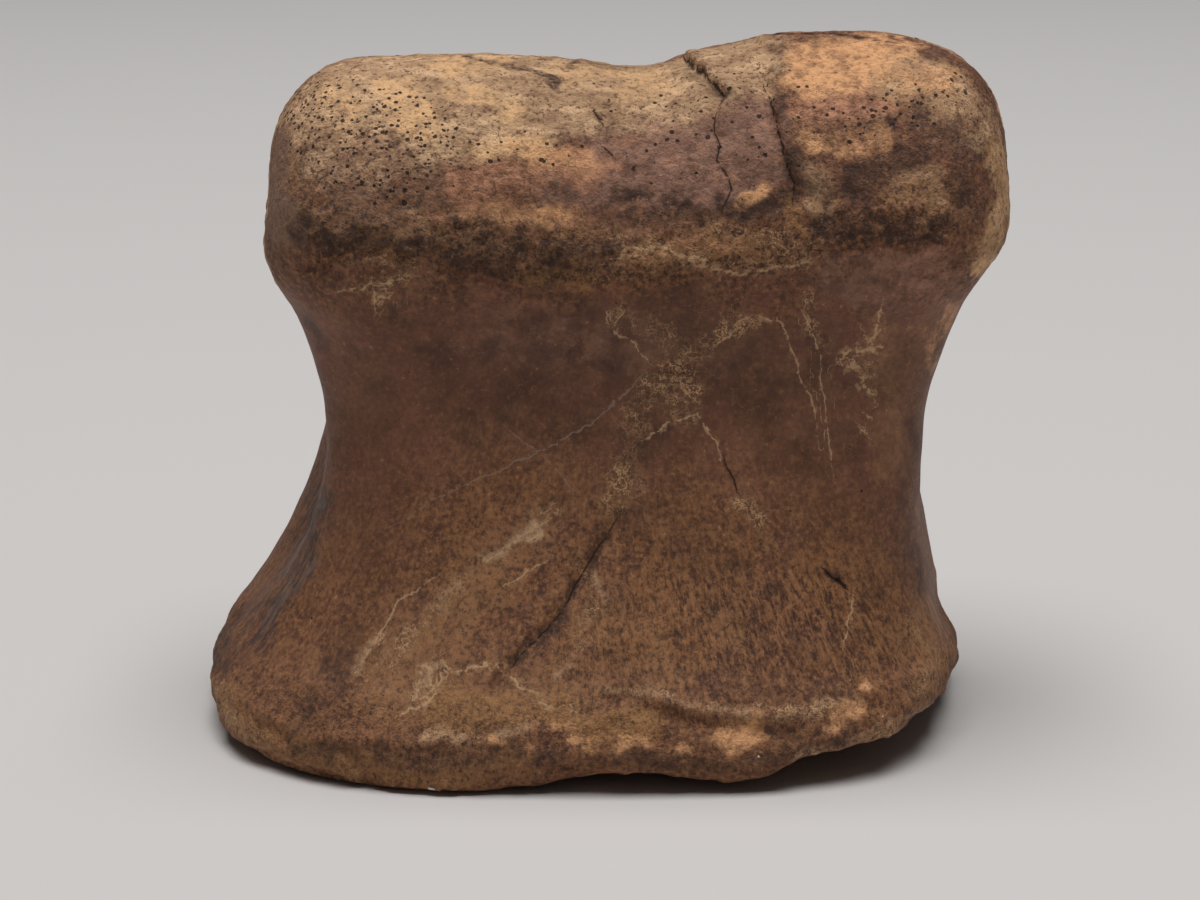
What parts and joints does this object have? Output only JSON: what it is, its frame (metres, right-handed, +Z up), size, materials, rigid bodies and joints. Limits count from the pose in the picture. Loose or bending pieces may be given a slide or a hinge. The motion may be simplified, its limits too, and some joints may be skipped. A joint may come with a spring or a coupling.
{
  "type": "fossil hadrosaur toe bone",
  "caption": "Fossil toe bone of a duck-billed dinosaur: a flared, dished base, a waisted shaft and a drum-shaped roller joint on top, standing upright as a still study model.",
  "frame": {"origin": "on the surface that the bone stands on, under the middle of its box", "axes": "+X along the roller, +Y from the front face of the toe to the back, +Z up from the dished joint face to the roller"},
  "size_m": [0.1188, 0.0852, 0.1013],
  "materials": {
    "fossil_bone": "mineralised brown bone, satin where smooth, dull and pitted on the roller"
  },
  "bodies": {
    "root": {"toe_bone": "fossil_bone"}
  },
  "joints": []
}
